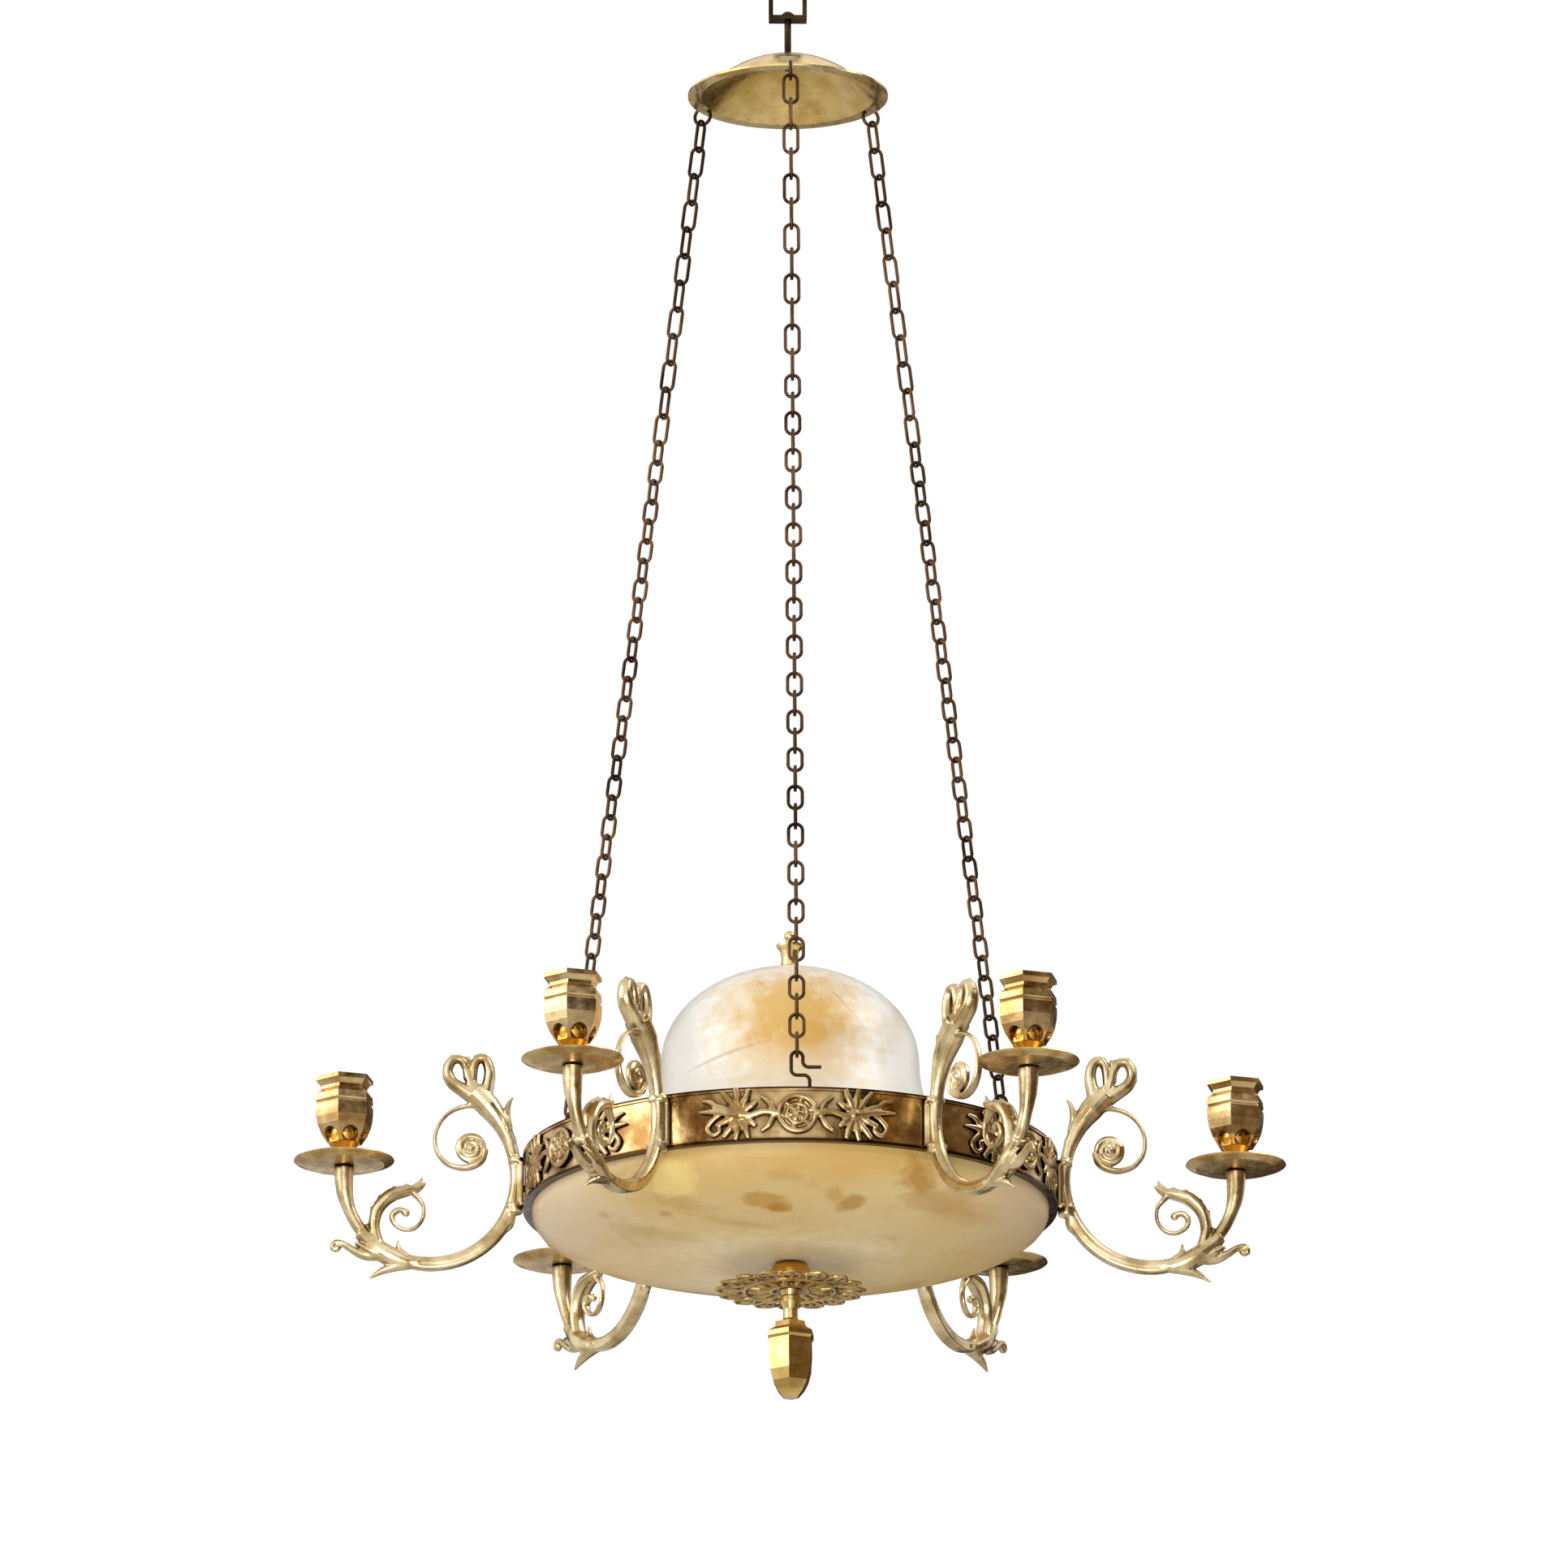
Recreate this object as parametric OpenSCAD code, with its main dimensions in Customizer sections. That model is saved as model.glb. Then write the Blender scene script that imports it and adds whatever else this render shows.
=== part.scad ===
// Hanging chandelier for six candles: a stirrup and stem carry a small dished canopy, three chains
// hang from it, and they hold a brass band with six cast branches, a shallow stone bowl and its lid.
// Millimetres, +Z up. The origin is the centre of the stirrup's arch, where the ceiling hook bears.

/* [Stirrup and stem] */
// Inside radius of the arch that hangs on the ceiling hook
arch_r = 11; // [9:0.5:14]
// Thickness of the stirrup's strap
strap_t = 3; // [2.5:0.25:4]
// Width of the stirrup's strap
strap_w = 12; // [10:0.5:16]
// Length of the straight legs, from the arch to the crossbar
leg_h = 31; // [24:1:40]
// Diameter of the stem
stem_d = 5; // [4:0.5:6]
// Length of the stem from the crossbar down to the canopy's crown
stem_h = 30; // [24:1:60]

/* [Canopy] */
// Radius of the canopy at its outer edge
canopy_r = 74; // [66:1:90]
// Height of the canopy's dome above its flat brim
canopy_h = 28; // [20:1:32]
// Width of the flat brim
brim_w = 10; // [9:0.5:14]
// Thickness of the canopy's sheet
sheet_t = 1.5; // [1:0.25:2]

/* [Chains] */
// Number of long links at the top of each chain
long_count = 12; // [6:2:20]
// Number of short links below them
short_count = 36; // [20:2:44]
// Outside length of a long link
long_l = 25.8; // [22:0.2:30]
// Outside length of a short link
short_l = 20.3; // [17:0.1:22]
// Outside width of a link
link_w = 12.6; // [11.5:0.1:14]
// Diameter of the links' wire
wire_d = 2.5; // [2:0.1:2.7]
// Mean radius of the ring at the top of each chain
ring_r = 6.5; // [6.2:0.1:7]

/* [Band] */
// Outside radius of the band
band_r = 193; // [180:1:210]
// Height of the band
band_h = 40; // [34:1:48]
// Thickness of the band's wall
band_t = 1.6; // [1.2:0.2:2.4]
// Radius of the middle rosette of each applied ornament
flower_r = 14; // [11:0.5:15]
// Reach of an ornament's leaves along the band, to each side
spray_l = 66; // [60:1:72]

/* [Bowl and lid] */
// Thickness of the stone
stone_t = 5; // [4:0.5:7]
// Depth of the bowl below the band
bowl_depth = 40; // [30:1:60]
// Height of the lid's crown above the band
lid_h = 140; // [120:2:160]
// Radius of the lid's upright part
lid_r = 94; // [80:1:110]
// Diameter of the tie rod through bowl and lid
tie_d = 8; // [6:0.5:10]

/* [Branches] */
// Distance of the candles from the middle axis
candle_r = 324; // [312:1:340]
// Depth of a branch's lower curve, which is a half circle where its ends stand twice as far apart
curve_r = 62.5; // [56:0.5:64]
// Thickness of a branch along its lower curve
branch_d = 9; // [7:0.5:11]
// Radius of a branch's upper stem
stem_curve_r = 86; // [80:1:92]
// Radius of the large volute
volute_r = 23; // [21:0.5:24]
// Radius of the flower inside the volute
volute_flower_r = 11.5; // [9:0.5:12]
// Radius of the small scroll under the candle
scroll_r = 21.5; // [19:0.5:22.5]

/* [Candle holders] */
// Radius of a drip pan
pan_r = 36.5; // [30:0.5:42]
// Height of a candle cup above its drip pan
cup_h = 66; // [56:1:74]
// Radius of the cup's six-sided flange, to its corners
flange_r = 22; // [20:0.5:25]
// Radius of the socket for the candle
socket_r = 11; // [10:0.25:11.5]
// Depth of the socket
socket_depth = 26; // [20:1:34]

/* [Bottom ornament] */
// Radius of the leaf disc under the bowl
leaf_disc_r = 55; // [44:1:64]
// Radius of the boss between bowl and leaf disc
boss_r = 15; // [12:0.5:18]
// Height of that boss
boss_h = 18; // [14:1:24]
// Height of the pendant drop below the leaf disc
drop_h = 80; // [66:1:92]
// Radius of the drop at its shoulder
drop_r = 18.5; // [15:0.5:22]

/* [Hidden] */
$fn = 48;
branch_count = 6;
chain_names = ["front", "right", "left"];
chain_turn = [0, 120, 240];

// Clearances: a running fit, a loose fit in one body, links that hang in each other, a chain's free end
run_gap = 0.1;
fit_gap = 0.2;
link_gap = 0.3;
end_gap = 0.7;

// Heights of the suspension
crossbar_z = -leg_h;
crown_z = crossbar_z - strap_t - stem_h;
brim_z = crown_z - canopy_h;
cap_r = canopy_r - brim_w;
stem_r = stem_d / 2;
collar_t = 3;
nut_t = 4;

// The top ring hangs on the strip between its hole and the canopy's edge
strip_half = 2;
wire_r = wire_d / 2;
ring_in = ring_r - wire_r;
ring_x = canopy_r - strip_half;
ring_sit = sqrt(pow(ring_in, 2) - pow(strip_half, 2)) - 0.15;
ring_z = brim_z - ring_sit;
hole_r = 2.7;
hole_x = canopy_r - 2 * strip_half - hole_r;

// The chain: each link starts where the one above it ends
link_count = long_count + short_count;
function link_l(i) = i < long_count ? long_l : short_l;
function pitch(i) = link_l(i) - 2 * wire_d - link_gap;
function link_top(i) = i == 0 ? ring_r - wire_d - link_gap : link_top(i - 1) + pitch(i - 1);
chain_l = link_top(link_count - 1) + link_l(link_count - 1) - wire_d;

// The hooks that stand on the band
hook_d = 2.6;
hook_arch_r = 4.2;
hook_leg = 9;
hook_run = 9;
hook_rise = 6;
hook_step = 6;
hook_r = band_r - band_t - 4;
hook_top = hook_rise + hook_arch_r * 3 + hook_leg;
end_drop = (hook_d + wire_d) / 2 + end_gap;
reach = hook_r - ring_x;
chain_drop = sqrt(pow(chain_l, 2) - pow(reach, 2));
lean = atan2(reach, chain_drop);
band_z = ring_z - chain_drop + end_drop - hook_top;

// The bowl hangs in the band by its lip, and the lid stands on the lip
lip_t = 6;
ledge_t = 2;
ledge_w = 3.2;
band_in = band_r - band_t;
ledge_in = band_in - ledge_w;
bowl_r = ledge_in - 0.3;
lip_r = band_in - 0.4;
lip_z = band_z - band_h + ledge_t;
lid_z = lip_z + lip_t;
lid_foot_r = bowl_r - 2;
lid_foot_t = 5;
shoulder_z = band_z + lid_h / 2;
crown_h = lid_h / 2;
bowl_z = band_z - band_h - bowl_depth;
tie_r = tie_d / 2;
bowl_power = 2.4;

// The branches, in their own upright plane: x is the distance from the middle axis, z is height.
// The lower curve is the arc from root to candle whose lowest point lies curve_r below its ends.
root_gap = 6;
root_x = band_r + root_gap;
curve_z = -19;
half_span = (candle_r - root_x) / 2;
mid_x = root_x + half_span;
arc_r = (pow(half_span, 2) + pow(curve_r, 2)) / (2 * curve_r);
arc_z = curve_z - curve_r + arc_r;
arc_end = asin((arc_r - curve_r) / arc_r);
branch_r = branch_d / 2;
pan_z = -9;
function on_arc(a) = [mid_x + arc_r * cos(a), arc_z + arc_r * sin(a)];

// The upper stem and the volute that lies against its inner side, a little sunk into it
stem_x = root_x + stem_curve_r;
bud_turn = 128;
bud_r = 7.5;
volute_turn = 150;
volute_out = stem_curve_r - volute_r - 0.7;
volute_x = stem_x + volute_out * cos(volute_turn);
volute_z = curve_z + volute_out * sin(volute_turn);

// The scroll stands with a stalk on the lower curve
scroll_turn = -62;
stalk_lean = 3;
stalk_rise = 14;
plate_w = 18;
plate_t = 3.4;
screw_r = 2.5;
screw_z = -25;
stud_r = 3;

// The six sides of a cup and of the drop are turned a little from the front
cup_turn = 18;
drop_turn = 24;

// The bottom ornament
disc_z = bowl_z - boss_h;
disc_t = 2.5;
drop_z = disc_z - disc_t;

function branch_turn(i) = 360 / branch_count * (i - 0.5);
function ornament_turn(i) = 360 / branch_count * i;

// Turns a piece to its place around the axis. Zero faces the front, -Y, and turns go to the right.
module around(turn) {
    rotate([0, 0, turn - 90])
        children();
}

// A round bar bent along an arc in the upright X-Z plane, angles counted from +X towards +Z
module bent_bar(x, z, r, from, to, bar_r) {
    translate([x, 0, z])
        rotate([90, 0, 0])
            rotate([0, 0, from])
                rotate_extrude(angle = to - from)
                    translate([r, 0])
                        circle(bar_r);
}

// A straight round bar between two points of that plane
module straight_bar(x1, z1, x2, z2, r1, r2) {
    run = [x2 - x1, z2 - z1];
    translate([x1, 0, z1])
        rotate([0, atan2(run[0], run[1]), 0])
            cylinder(h = norm(run), r1 = r1, r2 = r2);
}

module ball(x, z, r) {
    translate([x, 0, z])
        sphere(r);
}

// A disc that stands across that plane, such as the flower in a volute
module side_disc(x, z, r, t) {
    translate([x, t / 2, z])
        rotate([90, 0, 0])
            cylinder(h = t, r = r);
}

module stirrup() {
    outer_r = arch_r + strap_t;
    color("dimgray")
        difference() {
            rotate([90, 0, 0])
                translate([0, 0, -strap_w / 2])
                    linear_extrude(strap_w) {
                        difference() {
                            circle(outer_r);
                            circle(arch_r);
                            translate([-outer_r, -2 * outer_r])
                                square(2 * outer_r);
                        }
                        for (side = [-1, 1])
                            translate([side * (arch_r + strap_t / 2) - strap_t / 2, crossbar_z - strap_t])
                                square([strap_t, leg_h + strap_t]);
                        translate([-outer_r, crossbar_z - strap_t])
                            square([2 * outer_r, strap_t]);
                    }
            translate([0, 0, crossbar_z - strap_t - 1])
                cylinder(h = strap_t + 2, r = stem_r + run_gap);
        }
}

// The stem's domed head turns on the crossbar, and its collar bears on the canopy
module stem() {
    head_r = stem_r + 2.2;
    color("dimgray") {
        translate([0, 0, crossbar_z + fit_gap])
            cylinder(h = 1.6, r = head_r);
        translate([0, 0, crossbar_z + fit_gap + 1.6])
            cylinder(h = 2, r1 = head_r, r2 = stem_r);
        translate([0, 0, crown_z - sheet_t - nut_t - 3])
            cylinder(h = crossbar_z - crown_z + sheet_t + nut_t + 3 + 1, r = stem_r);
        translate([0, 0, crown_z])
            cylinder(h = collar_t, r = stem_r + 2.5);
    }
}

module stem_nut() {
    color("darkgoldenrod")
        translate([0, 0, crown_z - sheet_t - nut_t])
            difference() {
                cylinder(h = nut_t, r = stem_r + 3, $fn = 6);
                translate([0, 0, -1])
                    cylinder(h = nut_t + 2, r = stem_r + run_gap);
            }
}

// Height of the canopy's dome at a distance from the axis, with a flat seat for the collar
seat_r = 7;
function dome_rise(r) = canopy_h * (1 - pow(max(r - seat_r, 0) / (cap_r - seat_r), 2));

module canopy() {
    steps = 12;
    dome = [for (k = [0:steps]) cap_r - (cap_r - seat_r) * k / steps];
    color("goldenrod")
        difference() {
            translate([0, 0, brim_z])
                rotate_extrude($fn = 96)
                    polygon(concat(
                        [[canopy_r, -sheet_t], [canopy_r, 0]],
                        [for (r = dome) [r, dome_rise(r)]],
                        [[0, canopy_h], [0, canopy_h - sheet_t]],
                        [for (k = [steps:-1:0]) [dome[k], dome_rise(dome[k]) - sheet_t]]
                    ));
            translate([0, 0, crown_z - sheet_t - 1])
                cylinder(h = sheet_t + 2, r = stem_r + fit_gap);
            for (turn = chain_turn)
                around(turn)
                    translate([hole_x, 0, brim_z - sheet_t - 1])
                        cylinder(h = sheet_t + 2, r = hole_r);
        }
}

module ring(turn) {
    color("peru")
        around(turn)
            bent_bar(ring_x, ring_z, ring_r, 0, 360, wire_r);
}

// One welded link, its upper wire at the origin, hanging down in the X-Z plane
module chain_link(length) {
    bend_r = (link_w - wire_d) / 2;
    side_l = length - link_w;
    translate([0, 0, -bend_r])
        bent_bar(0, 0, bend_r, 0, 180, wire_r);
    translate([0, 0, -bend_r - side_l])
        bent_bar(0, 0, bend_r, 180, 360, wire_r);
    for (side = [-1, 1])
        translate([side * bend_r, 0, -bend_r - side_l])
            cylinder(h = side_l, r = wire_r);
}

// All the links of a chain, every other one a quarter turn round
module chain(turn) {
    color("saddlebrown")
        around(turn)
            translate([ring_x, 0, ring_z])
                rotate([0, -lean, 0])
                    for (i = [0:link_count - 1])
                        translate([0, 0, -link_top(i)])
                            rotate([0, 0, i % 2 == 0 ? 90 : 0])
                                chain_link(link_l(i));
}

// The band: a plain wall with a bead at each edge and a ledge inside for the bowl's lip
module band() {
    bead = 1.2;
    bead_h = 2.4;
    color("goldenrod")
        difference() {
            translate([0, 0, band_z - band_h])
                rotate_extrude($fn = 120)
                    polygon([
                        [ledge_in, 0], [band_r + bead, 0], [band_r + bead, bead_h], [band_r, bead_h],
                        [band_r, band_h - bead_h], [band_r + bead, band_h - bead_h],
                        [band_r + bead, band_h], [band_in, band_h],
                        [band_in, ledge_t], [ledge_in, ledge_t]
                    ]);
            for (i = [1:branch_count])
                around(branch_turn(i))
                    translate([ledge_in, 0, band_z + screw_z])
                        rotate([0, 90, 0])
                            cylinder(h = root_x - ledge_in, r = screw_r + fit_gap);
        }
}

// A wire hook on a foot against the band's inner face: the arch takes the chain's last link
module hook(turn) {
    hook_w = hook_d / 2;
    foot_h = 12;
    low_z = hook_rise + hook_arch_r;
    arch_z = low_z + hook_arch_r + hook_leg;
    free_z = arch_z - hook_leg + hook_step;
    color("darkgoldenrod")
        around(turn)
            translate([hook_r, 0, band_z])
                rotate([0, 0, 90]) {
                    bent_bar(0, arch_z, hook_arch_r, 0, 180, hook_w);
                    straight_bar(-hook_arch_r, arch_z - hook_leg, -hook_arch_r, arch_z, hook_w, hook_w);
                    bent_bar(0, arch_z - hook_leg, hook_arch_r, 180, 270, hook_w);
                    straight_bar(0, low_z, hook_run - hook_arch_r, low_z, hook_w, hook_w);
                    bent_bar(hook_run - hook_arch_r, hook_rise, hook_arch_r, 0, 90, hook_w);
                    straight_bar(hook_run, -foot_h, hook_run, hook_rise, hook_w, hook_w);
                    straight_bar(hook_arch_r, free_z, hook_arch_r, arch_z, hook_w, hook_w);
                    bent_bar(2 * hook_arch_r, free_z, hook_arch_r, 180, 270, hook_w);
                    straight_bar(
                        2 * hook_arch_r, free_z - hook_arch_r,
                        2 * hook_arch_r + hook_run, free_z - hook_arch_r, hook_w, hook_w
                    );
                }
    color("darkgoldenrod")
        around(turn)
            difference() {
                translate([hook_r, hook_run - 5, band_z - foot_h - 2])
                    cube([band_in - hook_r, 10, foot_h - 1]);
                difference() {
                    translate([0, 0, band_z - 2 * foot_h])
                        cylinder(h = 3 * foot_h, r = band_r + 10, $fn = 120);
                    translate([0, 0, band_z - 3 * foot_h])
                        cylinder(h = 5 * foot_h, r = band_in - run_gap, $fn = 120);
                }
            }
}

// A round boss at an angle round the axis, sunk a little into the strip that lies on the band
module band_boss(along, up, r, thick) {
    sunk = 0.5;
    rotate([0, 0, along])
        translate([band_r + run_gap + sunk, 0, up])
            rotate([0, 90, 0])
                cylinder(h = thick, r = r);
}

// The applied ornament: a ringed rosette with a spray of round leaves to each side of it
module ornament(turn) {
    leaves = 6;
    leaf_r = 8;
    rib_h = 5;
    mid_z = band_z - band_h / 2;
    spray_a = spray_l / band_r * 180 / PI;
    first_a = (flower_r + 3) / band_r * 180 / PI;
    color("burlywood")
        around(turn) {
            band_boss(0, mid_z, flower_r, 3);
            band_boss(0, mid_z, flower_r / 2, 5);
            translate([0, 0, mid_z - rib_h / 2])
                rotate([0, 0, -spray_a])
                    rotate_extrude(angle = 2 * spray_a)
                        translate([band_r + run_gap, 0])
                            square([1.8, rib_h]);
            for (side = [-1, 1])
                for (k = [0:leaves - 1])
                    band_boss(
                        side * (first_a + (spray_a - first_a) * k / (leaves - 1)),
                        mid_z + (k % 2 == 0 ? 1 : -1) * (8 - 0.8 * k), leaf_r - 0.6 * k, 2.4
                    );
        }
}

// A cast branch: wall plate, lower curve to the candle, upper stem with a bud, volute and scroll
module branch(turn) {
    color("tan")
        around(turn)
            translate([0, 0, band_z])
                difference() {
                    union() {
                        wall_plate();
                        bent_bar(mid_x, arc_z, arc_r, 180 + arc_end, 360 - arc_end, branch_r);
                        straight_bar(candle_r, curve_z, candle_r, pan_z, branch_r, branch_r + 2);
                        bent_bar(stem_x, curve_z, stem_curve_r, bud_turn, 180, branch_r - 1);
                        bud();
                        volute();
                        scroll();
                        leaf_tips();
                    }
                    translate([candle_r, 0, pan_z - 10])
                        cylinder(h = 12, r = stud_r + fit_gap);
                    translate([band_in, 0, screw_z])
                        rotate([0, 90, 0])
                            cylinder(h = root_x - band_in, r = screw_r + fit_gap);
                    translate([0, 0, -2 * band_h])
                        cylinder(h = 3 * band_h, r = band_r + run_gap, $fn = 120);
                }
}

module wall_plate() {
    plate_h = band_h - 6;
    sunk = 3;
    translate([band_r - sunk, -plate_w / 2, -plate_h - 2])
        cube([plate_t + sunk, plate_w, plate_h]);
    ball(root_x - 1, curve_z, branch_r + 1.5);
}

// The bud at the top of the stem: a swelling with two loops that lie against it
module bud() {
    top_x = stem_x + stem_curve_r * cos(bud_turn);
    top_z = curve_z + stem_curve_r * sin(bud_turn);
    ball(top_x, top_z, bud_r);
    bud_loop(top_x, top_z, 53, -193, 127);
    bud_loop(top_x, top_z, 121, -188, 109);
}

// A loop at an angle round the bud, open from one angle to another as seen from that direction
module bud_loop(x, z, turn, from, to) {
    loop_r = bud_r;
    away = bud_r + loop_r;
    bent_bar(x + away * cos(turn), z + away * sin(turn), loop_r, turn + from, turn + to, 2);
}

// The large volute: most of a turn that winds in past a knot to the flower in its eye
module volute() {
    eye_r = volute_flower_r + 1;
    eye_z = volute_z - volute_r + eye_r;
    bent_bar(volute_x, volute_z, volute_r, -87, volute_turn, 2.2);
    ball(volute_x, volute_z - volute_r, 3.2);
    bent_bar(volute_x, eye_z, eye_r, 120, 265, 2);
    side_disc(volute_x, eye_z, volute_flower_r, 5);
    side_disc(volute_x, eye_z, volute_flower_r / 3, 8);
}

// The leaf scroll that rises inside the lower curve and curls back to the middle from a knot
module scroll() {
    foot_a = -52;
    knot_a = 130;
    curl_end = 330;
    curl_r = scroll_r * 0.6;
    seat = on_arc(scroll_turn);
    foot = seat + [stalk_lean, stalk_rise];
    mid = foot - scroll_r * [cos(foot_a), sin(foot_a)];
    knot = mid + scroll_r * [cos(knot_a), sin(knot_a)];
    curl = mid + (scroll_r - curl_r) * [cos(knot_a), sin(knot_a)];
    tip = curl + curl_r * [cos(curl_end), sin(curl_end)];
    straight_bar(foot[0], foot[1], seat[0], seat[1], 3, 3);
    ball(foot[0], foot[1], 3.4);
    bent_bar(mid[0], mid[1], scroll_r, foot_a, knot_a - 2, 2.2);
    ball(knot[0], knot[1], 3.4);
    bent_bar(curl[0], curl[1], curl_r, knot_a + 3, curl_end, 2.2);
    ball(tip[0], tip[1], 3.2);
}

// Two leaf tips that turn away from the lower curve, one outwards and one down
module leaf_tips() {
    out = on_arc(-48);
    low = on_arc(-68);
    straight_bar(out[0], out[1], out[0] + 26, out[1] + 3, 3.6, 2);
    ball(out[0] + 26, out[1] + 3, 3.4);
    straight_bar(low[0], low[1], low[0] + 20, low[1] - 13, 3.6, 1.2);
}

// Screws from inside the band into the branches, with round heads
module branch_screws() {
    head_t = 2.4;
    color("darkgoldenrod")
        for (i = [1:branch_count])
            around(branch_turn(i))
                translate([band_in - 0.4 - head_t, 0, band_z + screw_z])
                    rotate([0, 90, 0]) {
                        cylinder(h = root_x - band_in + head_t - 1, r = screw_r);
                        cylinder(h = head_t, r = screw_r + 2);
                    }
}

module pan(turn) {
    color("tan")
        around(turn)
            translate([candle_r, 0, band_z + pan_z])
                difference() {
                    rotate_extrude($fn = 72)
                        polygon([
                            [0, 0], [pan_r * 0.45, 0], [pan_r * 0.8, 1.2], [pan_r - 1, 3.6], [pan_r, 4.4],
                            [pan_r - 0.4, 5.2], [pan_r * 0.8, 3], [pan_r * 0.45, 1.8], [0, 1.8]
                        ]);
                    translate([0, 0, -1])
                        cylinder(h = 4, r = stud_r + fit_gap);
                }
}

// A six-sided candle cup: a turned core in a swelling body, a flat flange and a blind round socket
module cup(turn) {
    pan_t = 1.8;
    body_h = cup_h - pan_t;
    flange_t = 3;
    color("goldenrod")
        around(turn)
            translate([candle_r, 0, band_z + pan_z + pan_t])
                difference() {
                    union() {
                        translate([0, 0, -9])
                            cylinder(h = 10, r = stud_r);
                        cup_core(body_h);
                        rotate([0, 0, cup_turn])
                            cup_body(body_h - flange_t);
                        rotate([0, 0, cup_turn])
                            translate([0, 0, body_h - flange_t])
                                cylinder(h = flange_t, r = flange_r, $fn = 6);
                    }
                    translate([0, 0, body_h - socket_depth])
                        cylinder(h = socket_depth + 1, r = socket_r);
                }
}

// The turned foot and core that show below the body
module cup_core(h) {
    rotate_extrude()
        polygon([
            [0, 0], [9, 0], [6, 6], [6, 8.5],
            [8, h * 0.18], [11, h * 0.25], [12, h * 0.33], [12, h * 0.5], [0, h * 0.5]
        ]);
}

// The six-sided body with its grooved belly, opened below by an arch in each side
module cup_body(h) {
    belly_r = flange_r;
    arch_cut_r = belly_r * 0.28;
    difference() {
        rotate_extrude($fn = 6)
            polygon([
                [0, h * 0.25], [belly_r * 0.6, h * 0.25], [belly_r * 0.8, h * 0.36],
                [belly_r * 0.92, h * 0.46], [belly_r * 0.98, h * 0.56], [belly_r, h * 0.64],
                [belly_r, h * 0.71], [belly_r - 1.2, h * 0.735], [belly_r, h * 0.76],
                [belly_r - 0.5, h * 0.84], [belly_r - 4.6, h * 0.9], [belly_r - 4.6, h * 0.94],
                [belly_r - 2, h], [0, h]
            ]);
        for (k = [0:5])
            rotate([0, 0, 30 + 60 * k])
                translate([belly_r * 0.5, 0, h * 0.32])
                    rotate([0, 90, 0])
                        cylinder(h = belly_r, r = arch_cut_r);
    }
}

// Half outline of the bowl as a rounded curve from the rim down to the middle
function bowl_curve(r, d) = [
    for (a = [0:5:90]) [r * pow(cos(a), 2 / bowl_power), -d * pow(sin(a), 2 / bowl_power)]
];

module bowl() {
    inner_r = bowl_r - stone_t;
    outer = bowl_curve(bowl_r, bowl_depth);
    inner = bowl_curve(inner_r, bowl_depth - stone_t);
    color("wheat")
        difference() {
            translate([0, 0, band_z - band_h])
                rotate_extrude($fn = 120)
                    polygon(concat(
                        [[inner_r, ledge_t + lip_t], [lip_r, ledge_t + lip_t]],
                        [[lip_r, ledge_t], [bowl_r, ledge_t]],
                        outer,
                        [for (k = [len(inner) - 1:-1:0]) inner[k]]
                    ));
            translate([0, 0, bowl_z - 1])
                cylinder(h = stone_t + 2, r = tie_r + fit_gap);
        }
}

// Half outline of the lid: a round crown above its shoulder, then a skirt that sweeps out to the foot
function crown_curve(r, h) = [for (a = [90:-6:0]) [r * cos(a), shoulder_z + h * sin(a)]];
function skirt_curve(r, foot_r, low) = [
    for (a = [6:6:90]) [r + (foot_r - r) * (1 - cos(a)), shoulder_z - (shoulder_z - low) * sin(a)]
];

module lid() {
    inner_r = lid_r - stone_t;
    outer = concat(
        crown_curve(lid_r, crown_h),
        skirt_curve(lid_r, lid_foot_r, lid_z + lid_foot_t)
    );
    inner = concat(
        crown_curve(inner_r, crown_h - stone_t),
        skirt_curve(inner_r, lid_foot_r - 3 * stone_t, lid_z)
    );
    color("cornsilk")
        difference() {
            rotate_extrude($fn = 120)
                polygon(concat(
                    outer,
                    [[lid_foot_r, lid_z]],
                    [for (k = [len(inner) - 1:-1:0]) inner[k]]
                ));
            translate([0, 0, band_z + lid_h - stone_t - 1])
                cylinder(h = stone_t + 2, r = tie_r + fit_gap);
        }
}

// The rod that ties drop, leaf disc, boss, bowl and lid together
module tie_rod() {
    color("darkgoldenrod")
        translate([0, 0, drop_z - 12])
            cylinder(h = band_z + lid_h + 14 - drop_z + 12, r = tie_r);
}

// The turned nut on top of the lid, with a small knob
module lid_finial() {
    color("goldenrod")
        translate([0, 0, band_z + lid_h])
            difference() {
                union() {
                    rotate_extrude()
                        polygon([
                            [0, 0], [9, 0], [9, 2], [6.5, 4], [6, 10], [7, 15], [9.5, 18], [9.5, 20],
                            [4, 20], [2.5, 24], [0, 24]
                        ]);
                    translate([0, 0, 26.5])
                        sphere(4);
                }
                translate([0, 0, -1])
                    cylinder(h = 16, r = tie_r + run_gap);
            }
}

module boss() {
    color("darkgoldenrod")
        translate([0, 0, disc_z])
            difference() {
                rotate_extrude()
                    polygon(concat(
                        [[0, 0]],
                        [for (a = [-60:15:60]) [
                            boss_r * (0.45 + 0.55 * cos(a)),
                            boss_h / 2 + boss_h / 2 * sin(a) / sin(60)
                        ]],
                        [[0, boss_h]]
                    ));
                translate([0, 0, -1])
                    cylinder(h = boss_h + 2, r = tie_r + fit_gap);
            }
}

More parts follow.
